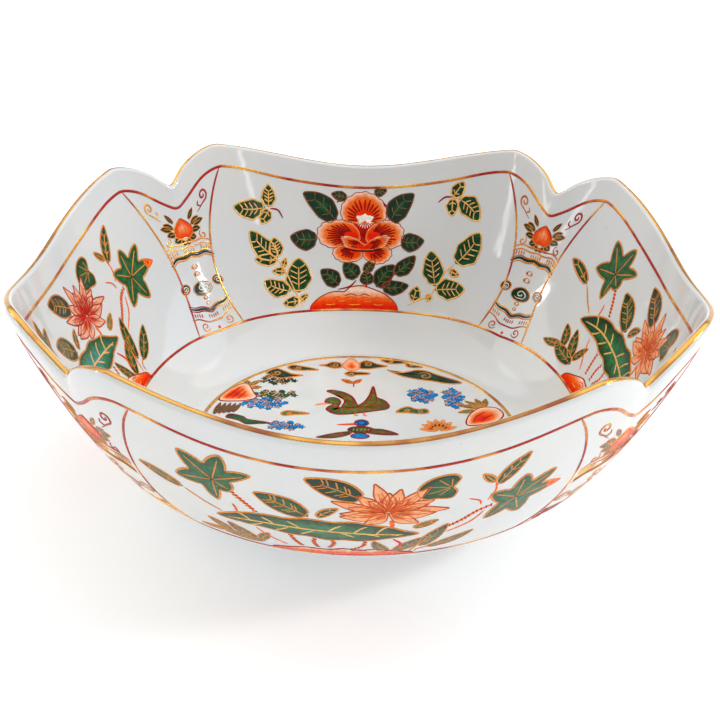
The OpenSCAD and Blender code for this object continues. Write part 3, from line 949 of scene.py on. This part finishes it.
def corner_band():
    """The ornament from its peach down to its foot."""
    design = {}
    peach = curve([(0, 55), (-2.8, 53.4), (-4.8, 50.6), (-4, 47.4), (0, 46), (4, 47.4), (4.8, 50.6),
        (2.8, 53.4)], 36, True)
    peach = settle(peach, (0, 50))
    outlined(design, "petals", peach, (PEACH, ORANGE, PEONY), (0, 51.5), 0.6, ink="lines", steps=36,
        height=0.15)
    for shift in (-2, -0.7, 0.7, 2):
        stroke(design, "petals", [(shift * 1.2, 46.8), (shift * 1.4, 49.5), (shift * 0.6, 53)], 0.4, PEONY)
    for hand in (-1, 1):
        curl = spiral((0, 0), 2.3, 1.3, 300, 1, 8)[::-1] * [hand, 1] + (14.4 * hand, 55.4)
        path = np.concatenate([curl, [(13.2 * hand, 52.4), (11.4 * hand, 51.4), (9.4 * hand, 50.6)]])
        stroke(design, "lines", path, 1.0, IRON_RED, steps=48)
        stroke(design, "lines", [(12.4 * hand, 51.8), (10.8 * hand, 53.2), (11.4 * hand, 54.6)], 0.8,
            IRON_RED)
        for bx, by, tx, ty in ((4, 51.5, 7.5, 54), (4.6, 49, 9.5, 49.4), (6, 47.8, 11.5, 47.4),
                (4.4, 46.6, 9, 44.6), (2.6, 45, 5.8, 42.4), (0.8, 44.8, 1.6, 42.2)):
            leaf(design, (bx * hand, by), (tx * hand, ty), 2.5, DEEP, veins=0, thickness=0.42)
        add_curl(design, (9.5 * hand, 41.6), 2.0, 1.2, 100, hand)
        scroll(design, (9.2 * hand, 21.5), 5.2, 4.2, -hand)
        add_curl(design, (6.8 * hand, 3.6), 2.3, 1.4, 200, hand)
    for middle, edge, half, width in ((43.4, 37.4, 13.4, 0.9), (41.4, 36, 13.0, 0.8)):
        stroke(design, "lines", lappet(middle, edge, half, 0.35), width, IRON_RED, steps=64)
    combs(design, (-9.2, 0, 9.2), 1.25, 40.6, -5.6, 14, 0.5, -2.1, 0.8)
    for layer, middle, edge, half, width, colour, height in (
            ("leaves", 37.6, 32, 12.3, 1.5, DARK_LEAF, 0.17), ("lines", 38.6, 33.1, 12.4, 0.8, IRON_RED, 0.2),
            ("outlines", 36.5, 30.8, 12.2, 0.85, GOLD, 0.2)):
        stroke(design, layer, lappet(middle, edge, half, 0.4), width, colour, height, steps=64)
    for y, size in ((32.2, 3.4), (28.7, 3.6), (17, 2.6), (14.3, 2.0)):
        scroll(design, (0, y), size, size * 0.55)
    scroll(design, (0, 21.8), 10.4, 6.6)
    for layer, middle, half, width, colour, height in (
            ("leaves", 11, 11.8, 1.3, DARK_LEAF, 0.17), ("lines", 12, 11.7, 0.8, IRON_RED, 0.2),
            ("lines", 10, 12, 0.8, IRON_RED, 0.2)):
        stroke(design, layer, lappet(middle, middle + 2, half, -0.3), width, colour, height, steps=64)
    combs(design, (-8.6, 0, 8.6), 1.2, 6.4, 2.4, 13, 0.3, 2.6, 0.75)
    stroke(design, "lines", lappet(5, 8.6, 12.6, 0.4), 0.9, IRON_RED, steps=64)
    fill(design, "petals", ellipse(0, 1.8, 0.8, 0.8, 12), (ORANGE, PEONY))
    return design


corner = corner_band()
print("corner marks:", {layer: len(marks) for layer, marks in corner.items()})

# %% [markdown]
# ## The medallion
# The floor shows a pond: a goose with raised wings, a duck below it, clouds and a peach above, rocks and
# blue flowers at the rim. The decorator reads it from the front, so it is drawn in plan, x to the right and
# y away.

# %% Clouds, flowers and rocks
GOLDEN_ANGLE = 2.39996             # radians between neighbours on a sunflower spiral


def cloud(design, rim, eye, size, hand=1, stops=DEEP):
    """A drifting cloud: an outline with a curl of gold in its heart."""
    outlined(design, "leaves", curve(rim, 40, True), stops, eye, 1.15, GOLD, "outlines", 44)
    stroke(design, "outlines", spiral(eye, size, 1.4, 160, hand), 0.9, GOLD, 0.24)


def flower_cluster(design, x, y, half_width, half_height, count, colour):
    """Small dabs set on a sunflower spiral: radius = root of the share counted. Every second one has a gold
    curl."""
    k = np.arange(count)
    a = k * GOLDEN_ANGLE
    r = np.sqrt((k + 0.5) / count)
    dabs = np.stack([x + half_width * r * np.cos(a), y + half_height * r * np.sin(a)], 1)
    layer, rim = ("blues", DARK_BLUE) if colour is BLUE else ("leaves", DARK_LEAF)
    turn = np.radians(np.arange(10) * 36)
    for n, dab in enumerate(dabs):
        wobble = 1 + 0.35 * np.cos(5 * turn + n)
        ring = dab + 1.5 * np.stack([np.cos(turn) * wobble, np.sin(turn) * wobble], 1)
        fill(design, layer, ring, (colour, colour, rim), height=0.12)
        if n % 2 == 0:
            stroke(design, "outlines", spiral(dab, 1.2, 0.8, 90 * n, 1, 7), 0.8, GOLD, 0.24)


def rock(design, rim, heart, rays):
    """A red rock, red at its heart and pale towards its rim all round, with combed lines."""
    outlined(design, "rocks", curve(rim, 36, True), (PEONY, PEONY, FLAME, ORANGE, PEACH, CREAM), heart, 0.9,
             height=0.14)
    for path in rays:
        stroke(design, "stems", path, 0.8, IRON_RED, 0.24)


print("points on a cloud's curl:", len(spiral((0, 0), 2.0, 1.4, 160)))

# %% [markdown]
# The birds are drawn like cut paper: a few filled shapes, each with a red outline, and red lines for the
# feathers.

# %% Goose and duck
def goose(design):
    """A goose: neck, body, two raised wings with their feather lines, beak and legs."""
    body = curve([(-13.4, 18.4), (-10, 15.2), (-5, 15.2), (1, 16.6), (7, 18.4), (12.4, 20.4), (12.6, 24.4),
        (6, 23), (0, 21.5), (-7, 20.6), (-11, 21)], 48, True)
    neck = curve([(-13.8, 18.6), (-12.8, 21.4), (-10.6, 23.6), (-12.4, 24), (-14.4, 24.6), (-14, 27.6),
        (-11.4, 29), (-8.8, 27.6), (-8, 24.6), (-8.8, 21.4), (-8, 18.6), (-10.8, 16.8)], 48, True)
    for rim, heart in ((neck, (-10.4, 24.2)), (body, (-2, 18.6))):
        outlined(design, "leaves", rim, OLIVE, heart, 1.0, steps=60, height=0.13)
    wings = ([(-7, 20.5), (-6, 26), (-8.4, 30.6), (-14, 34.2), (-12, 35.4), (-7, 33.8), (-3, 30), (-1.2, 25),
              (-0.6, 21)],
             [(-0.6, 21), (2.6, 26), (4.8, 32), (6.3, 39.6), (7.4, 33), (8, 29.8), (11.2, 27.4), (12.6, 24),
              (9, 21.2), (4, 20.4)])
    for rim, heart in zip(wings, ((-4.6, 25.5), (5.6, 25.2))):
        outlined(design, "leaves", curve(rim, 48, True), OLIVE, heart, 1.0, steps=52, height=0.15, lift=0.24)
    for path in ([(-5, 22), (-4.4, 27), (-9, 32.6)], [(-2.6, 22), (-2.6, 28), (-7, 32.8)],
            [(1, 21.6), (5, 28), (6.2, 36)], [(3, 21.2), (7.4, 26), (7.6, 30)], [(5, 21.2), (9.6, 24.6),
            (10, 28)]):
        stroke(design, "stems", path, 0.8, IRON_RED, 0.24)
    fill(design, "petals", curve([(-13.8, 25), (-18.6, 22.8), (-18.2, 22.2), (-13.4, 23.4)], 16, True),
         (PEACH, ORANGE), height=0.14)
    for x in (-1.5, 2.4):
        stroke(design, "stems", [(x, 17), (x + 0.2, 14.6), (x + 1.6, 14.2)], 0.9, ORANGE)


def duck(design):
    """A small duck seen from the front, with its wings spread."""
    for centre, width, height, stops in (((1.5, 8.3), 3, 2.6, (BLUE, DARK_BLUE, DARK_BLUE)),
            ((1.4, 2.8), 5.6, 2.7, MOSSY), ((1, -2), 3.8, 2, (BLUE, BLUE, DARK_BLUE))):
        layer = "blues" if stops[0] is BLUE else "leaves"
        outlined(design, layer, ellipse(*centre, width, height, 20), stops, None, 0.65, steps=30)
    fill(design, "petals", curve([(-1, 8), (-8, 7), (-8, 6.2), (-1, 6.6)], 18, True), (ORANGE, PEONY),
        height=0.14)
    leaf(design, (2, 2), (17, -0.2), 4.2, MOSSY, IRON_RED, 3, 0.6)
    leaf(design, (-2, 1), (-17, -3.6), 3.4, MOSSY, IRON_RED, 3, 0.6)
    for k in range(5):
        stroke(design, "outlines", [(-2 + 1.6 * k, 1.6), (-1.6 + 1.6 * k, 4)], 0.5, GOLD)


birds = {}
goose(birds)
duck(birds)
print("bird marks:", {layer: len(marks) for layer, marks in birds.items()})

# %% [markdown]
# The pond is laid out from its far rim towards its near one: the peach and clouds first, the rocks and
# flowers at the sides, and a lotus with its leaves nearest to the eye.

# %% Pond
def pond(design):
    """Adds all that lies round the birds: the peach and clouds, rocks, flowers and water plants."""
    peach = curve([(-4, 65.5), (-7, 62), (-8, 58), (-6, 55), (-3.4, 53.8), (-0.8, 55.4), (0, 58.6),
        (-1.2, 62.2)], 36, True)
    outlined(design, "petals", peach, (PEONY, ORANGE, PEACH, PEACH), (-3.8, 57.2), 0.8, ORANGE, steps=36,
             height=0.15)
    cloud(design, [(-8.5, 57), (-9.5, 61), (-13, 61.6), (-15.6, 59.4), (-18.6, 58.4), (-15.6, 57.4),
        (-12, 55.8)], (-11.6, 58.8), 2.1)
    cloud(design, [(0, 56.4), (0.2, 61.4), (2.6, 63.6), (5.4, 62.6), (8, 60.6), (12.6, 58.8), (8, 57),
        (4, 55.8)], (3.6, 60), 2.2, -1)
    cloud(design, [(-6.6, 50.6), (-5, 52.8), (-2, 52.6), (4.2, 52), (3.6, 50.4), (-1.2, 49.8), (-4, 48.4)],
          (-4, 50.6), 1.6)
    stroke(design, "stems", [(-2.4, 38.6), (-2.6, 43)], 0.8, IRON_RED)
    leaf(design, (-2.8, 42), (-8, 45.4), 2.6, OLIVE, ORANGE, 2)
    leaf(design, (-2.4, 42), (0.8, 45.8), 2.4, OLIVE, ORANGE, 2)
    cloud(design, [(-33, 56), (-31, 57.8), (-27, 57), (-23, 55.8), (-19, 53.8), (-24, 53.2), (-29, 53),
        (-32, 54)], (-28.6, 55.2), 1.8)
    cloud(design, [(-42.5, 50.5), (-38.5, 54), (-34.6, 52.2), (-31, 49.6), (-26, 48.4), (-31, 46.6),
        (-36, 45.4), (-40, 47.4)], (-38, 50.2), 2.4)
    cloud(design, [(12.8, 55.4), (16, 53), (21, 53.2), (26, 55.6), (31, 54.8), (35.6, 51.6), (40.4, 48.8),
        (46.4, 44.8), (41, 43.4), (33, 45.6), (25, 47.4), (18, 50.4)], (30, 50.2), 3.4, -1)
    cloud(design, [(10, 64.6), (15, 64.4), (20.4, 63.6), (20, 61.8), (14, 61.4)], (14.6, 63), 1.0)
    cloud(design, [(21.8, 62.4), (23.4, 60.8), (29, 58.6), (25, 57.8), (22, 58.8)], (24, 60), 0.9)
    for row in ((-37, 43.8, 8.4, 3.6, 16, DARK_LEAF), (-36.5, 30.8, 9.4, 3.4, 18, LEAF), (-41, 23, 10, 4.6,
            26, BLUE), (-30.5, 4.8, 7.4, 3.2, 15, BLUE), (28, 32.6, 6.2, 6, 24, BLUE), (41.6, 31, 4.4, 8.4,
            24, BLUE)):
        flower_cluster(design, *row)
    rock(design, [(-61, 25), (-58, 33), (-53.5, 38.6), (-50, 39.6), (-47, 33), (-45, 28.4), (-48, 25.4),
        (-54, 24.2)], (-56, 30), [[(-58.6, 26), (-56, 31), (-52.6, 37)], [(-56, 26), (-54, 30),
        (-51, 35.6)], [(-53, 26), (-51.6, 29), (-50, 33)]])
    rock(design, [(46.4, 8.4), (47, 15), (50.4, 20.6), (54.6, 23.4), (60, 22.8), (62.4, 18), (60, 13),
        (54, 9.6)], (52, 13), [[(49, 10), (50.4, 15), (55, 20)], [(52, 10.6), (54, 14), (58.6, 18)]])
    for bx, by, tx, ty in ((53, 22.6, 43, 24.6), (53.5, 23, 46.6, 28.4), (54, 23.4, 51.4, 30.4),
            (54.6, 23.4, 56, 30.6), (50.6, 20.6, 43, 18.4), (-49, 38, -45, 43), (-50, 38.6, -50.6, 42.4),
            (-48, 36, -43.6, 37)):
        leaf(design, (bx, by), (tx, ty), 2.8, OLIVE, GOLD, 2, thickness=0.6)
    for k in range(5):
        leaf(design, (-61.6 + 1.9 * k, 12.6 + 0.5 * k), (-60 + 2.2 * k, 22.6 - 0.1 * k), 1.9,
            (MOSS, LEAF, LEAF), IRON_RED, 0, thickness=0.55)
    cloud(design, [(16.6, 17.6), (18, 20.4), (21.6, 22.4), (25, 20.6), (29.4, 20.8), (30, 17.8), (26, 16.8),
        (21, 17.4)], (21, 19.4), 1.5, stops=(MOSS, LEAF, LEAF))
    stroke(design, "outlines", spiral((27, 18.8), 1.4, 1.3, 60), 0.7, GOLD)
    cloud(design, [(-33, 15), (-31, 16.8), (-28, 16.8), (-21, 15), (-28, 13.8), (-31.6, 13)], (-29.6, 15.2),
        1.3, stops=OLIVE)
    rim = curve([(-56, 10.6), (-54.6, 13.4), (-49, 11.6), (-47, 9.4), (-41, 8), (-37, 6.6), (-42, 6),
        (-47, 5.6), (-50.6, 8.4)], 36, True)
    outlined(design, "leaves", rim, (LEAF, LEAF, DARK_LEAF), None, 0.7, steps=44)
    for k in range(7):
        a = math.radians(20 + 26 * k)
        leaf(design, (34, 4), (34 + 8 * math.cos(a), 4 + 8.6 * math.sin(a)), 3, (PEONY, ORANGE, PEACH),
            GOLD, 2, layer="petals", thickness=0.6)
    # the near half: water plants, a lotus, a third row of clouds and two more rocks
    leaf(design, (0, -34), (-30, -30), 12, (PAD, PAD, DARK_LEAF), veins=6, bend=2)
    leaf(design, (2, -34), (28, -31), 11, (PAD, PAD, DARK_LEAF), veins=6, bend=-2)
    for k in range(11):
        a = math.radians(5 + 17 * k)
        outline, rib, _ = blade((0, -34), (13 * math.cos(a), -34 + 13 * math.sin(a)), 4.2, belly=1.1)
        outlined(design, "petals", outline, (LOTUS_PALE, LOTUS, LOTUS), rib[5], 0.5, PEONY, steps=30,
            height=0.14)
        stroke(design, "stems", rib[2:12:3], 0.4, PEONY)
    for x, y, hand in ((-40, -16, 1), (38, -15, -1), (-26, -49, 1), (24, -50, -1), (0, -58, 1)):
        cloud(design, [(x - 8, y), (x - 4, y + 3), (x, y + 2.6), (x + 8, y + 0.4), (x + 3, y - 2.4),
            (x - 4, y - 2.6)], (x - 2 * hand, y + 0.3), 1.8, hand)
    for row in ((-52, -8, 6, 5, 18, BLUE), (52, -10, 6, 5, 18, BLUE)):
        flower_cluster(design, *row)
    rock(design, [(-46, -44), (-40, -34), (-34, -35), (-32, -41), (-37, -47)], (-40, -42),
         [[(-42, -43), (-40, -39), (-38, -37)], [(-39, -44), (-37, -40), (-35, -38)]])
    rock(design, [(32, -42), (36, -35), (42, -34), (46, -42), (38, -48)], (40, -42),
         [[(36, -43), (38, -39), (41, -37)], [(39, -44), (41, -40), (43, -39)]])
    return design


medallion = pond(birds)
print("medallion marks:", {layer: len(marks) for layer, marks in medallion.items()})

# %% [markdown]
# ## Laying the designs on the bowl
# Each kiln firing fixes one group of colours, so each design becomes a few thin skins: leaves, petals,
# outlines and so on. Peonies stand inside at the back and front and outside on the other two sides; the
# lotus takes the rest, so that every view shows one of each.

# %% Fire the enamels
leaf_enamel = make_enamel("green enamel", 0.4, 0.08, 0.36)
petal_enamel = make_enamel("petal enamel", 0.14, 0.2, 0.1)
red_line = make_enamel("iron red line", 0.25, 0.3, 0.1)
blue_enamel = make_enamel("blue enamel", 0.35, 0.12, 0.2)


def make_outline():
    """Outline enamel: cream-gold colour laid thick, half metallic where it is burnished."""
    material, tree, shader = new_material("gold outline", IOR=1.5, Specular_IOR_Level=0.35)
    own = stroke_colour(tree)
    wear = spread(tree, noise(tree, 330, 3.0), 0.42, 0.62, 0.0, 1.0)
    deep = blend_colours(tree, 0.35, own, (0.42, 0.10, 0.02))
    tree.links.new(blend_colours(tree, wear, deep, own), shader.inputs["Base Color"])
    tree.links.new(spread(tree, wear, 0.0, 1.0, 0.05, 0.3), shader.inputs["Metallic"])
    roughen(tree, shader, 900, 0.18, 0.32)
    return material


FINISH = {
    "lines": (line_gold, "gilding"),
    "outlines": (make_outline(), "gilding"),
    "leaves": (leaf_enamel, "green_enamel"),
    "petals": (petal_enamel, "orange_enamel"),
    "stamens": (petal_enamel, "yellow_enamel"),
    "rocks": (petal_enamel, "red_enamel"),
    "stems": (red_line, "red_enamel"),
    "blues": (blue_enamel, "blue_enamel")}


def fire(name, design, charts):
    """Lays every layer of a design on each chart, and makes one piece of each layer."""
    for layer, marks in design.items():
        points, quads, caps = join(marks)
        laid = []
        for chart in charts:
            placed = np.concatenate([chart(points[:, :3]), points[:, 3:]], 1)
            laid.append(outward(placed, quads, caps))
        material, slot = FINISH[layer]
        piece(f"{name}_{layer}", *join(laid), material)


fire("inner_peony", peony, [inner_charts[90], inner_charts[270]])
fire("outer_peony", peony, [outer_charts[0], outer_charts[180]])
fire("inner_lotus_left", red_lotus, [inner_charts[180]])
fire("inner_lotus_right", orange_lotus, [inner_charts[0]])
fire("outer_lotus", orange_lotus, [outer_charts[270], outer_charts[90]])
fire("inner_corners", corner, [inner_charts[k] for k in CORNERS])
fire("outer_corners", corner, [outer_charts[k] for k in CORNERS])
fire("pond", medallion, [floor_chart])

# %% [markdown]
# ## Studio
# Porcelain is mostly seen by what it reflects, so the bowl sits in a white room: a pale sweep of floor, a
# soft sky that is brightest near the floor, and a few large soft lamps that draw long highlights down the
# walls.

# %% Floor and light
def make_floor():
    """A matt white floor that glows a little more far off, so it fades into the sky."""
    material, tree, shader = new_material("studio floor", Specular_IOR_Level=0.2, Emission_Color=(1, 1, 1, 1))
    shade = blend_colours(tree, noise(tree, 3), (0.95, 0.95, 0.955), (0.965, 0.965, 0.965))
    tree.links.new(shade, shader.inputs["Base Color"])
    roughen(tree, shader, 40, 0.55, 0.65)
    place = tree.nodes.new("ShaderNodeTexCoord")
    distance = tree.nodes.new("ShaderNodeVectorMath")
    distance.operation = "LENGTH"
    tree.links.new(place.outputs["Object"], distance.inputs[0])
    glow = spread(tree, distance.outputs["Value"], 1.0, 3.0, 0.22, 0.56)
    tree.links.new(glow, shader.inputs["Emission Strength"])
    return material


FLOOR = 4                          # metres from the middle to each edge
floor_mesh = bpy.data.meshes.new("floor")
corners = [(-FLOOR, -FLOOR, 0), (FLOOR, -FLOOR, 0), (FLOOR, FLOOR, 0), (-FLOOR, FLOOR, 0)]
floor_mesh.from_pydata(corners, [], [(0, 1, 2, 3)])
floor_mesh.materials.append(make_floor())
floor = bpy.data.objects.new("floor", floor_mesh)
bpy.context.scene.collection.objects.link(floor)

world = bpy.data.worlds.new("white room")
bpy.context.scene.world = world
world.use_nodes = True
world.node_tree.nodes["Background"].inputs["Color"].default_value = (0.97, 0.985, 1.0, 1)
sky = world.node_tree.nodes.new("ShaderNodeTexCoord")
heading = world.node_tree.nodes.new("ShaderNodeSeparateXYZ")
world.node_tree.links.new(sky.outputs["Generated"], heading.inputs["Vector"])
paler_low = spread(world.node_tree, heading.outputs["Z"], 0.12, 0.30, 0.95, 0.38)
world.node_tree.links.new(paler_low, world.node_tree.nodes["Background"].inputs["Strength"])


LAMP_AIM = np.array([0, 0, 0.05])


def lamp(name, azimuth, height, distance, size, power, colour=(1, 1, 1)):
    """A soft rectangular lamp that faces the bowl, seen from it at an azimuth and a height, both in
    degrees."""
    data = bpy.data.lights.new(name, "AREA")
    data.shape, data.size, data.size_y = "RECTANGLE", *size
    data.energy, data.color = power, colour
    a, h = math.radians(azimuth), math.radians(height)
    away = np.array([math.cos(h) * math.cos(a), math.cos(h) * math.sin(a), math.sin(h)])
    made = bpy.data.objects.new(name, data)
    made.location = LAMP_AIM + distance * away
    made.rotation_euler = (math.acos(away[2]), 0, math.atan2(away[0], -away[1]))
    bpy.context.scene.collection.objects.link(made)


lamp("left window", 172, 24, 1.3, (0.12, 0.12), 0.9, (0.94, 0.97, 1.0))
lamp("left strip", 208, 23, 1.5, (0.05, 0.36), 0.35, (0.95, 0.98, 1.0))
lamp("right window", -8, 32, 1.24, (0.17, 0.2), 4.5)
lamp("left mullion", -178, 11, 1.5, (0.09, 0.42), 0.5)
lamp("right strip", -46, 22, 1.5, (0.05, 0.34), 0.28)
lamp("ceiling", 90, 80, 1.6, (2.2, 2.2), 19)
lamp("front", -90, 22, 2.2, (2.4, 1.2), 2)
lamp("cool side", 22, 38, 1.9, (1.2, 0.9), 5.5, (0.72, 0.87, 1.0))
lamp("warm side", 158, 38, 1.9, (1.2, 0.9), 5.5, (1.0, 0.96, 0.82))
print("lamps:", len(bpy.data.lights))

# %% [markdown]
# ## Camera
# The camera stands in front and a little above, close enough to look over the near wall and down into the
# pond.

# %% Camera
DISTANCE = 0.44997                 # metres from the target to the camera
view = bpy.data.cameras.new("camera")
view.lens, view.sensor_width = 51.83, 36.0
yaw, height, roll = math.radians(0.4185), math.radians(28.335), math.radians(1.023)
target = np.array([0.000217, 0.031353, 0.03])
away = np.array([math.sin(yaw) * math.cos(height), -math.cos(yaw) * math.cos(height), math.sin(height)])
right = unit(np.cross(-away, [0, 0, 1.0]))
above = np.cross(right, -away)
lean, tilt = math.cos(roll), math.sin(roll)
axes = np.stack([lean * right + tilt * above, lean * above - tilt * right, away], 1)
camera = bpy.data.objects.new("camera", view)
matrix = np.eye(4)
matrix[:3, :3] = axes
matrix[:3, 3] = target + DISTANCE * away
camera.matrix_world = matrix.T.tolist()
view.clip_start = 0.01
bpy.context.scene.collection.objects.link(camera)
bpy.context.scene.camera = camera
bpy.context.scene.view_settings.view_transform = "Standard"
print("camera at", matrix[:3, 3].round(3), "metres")
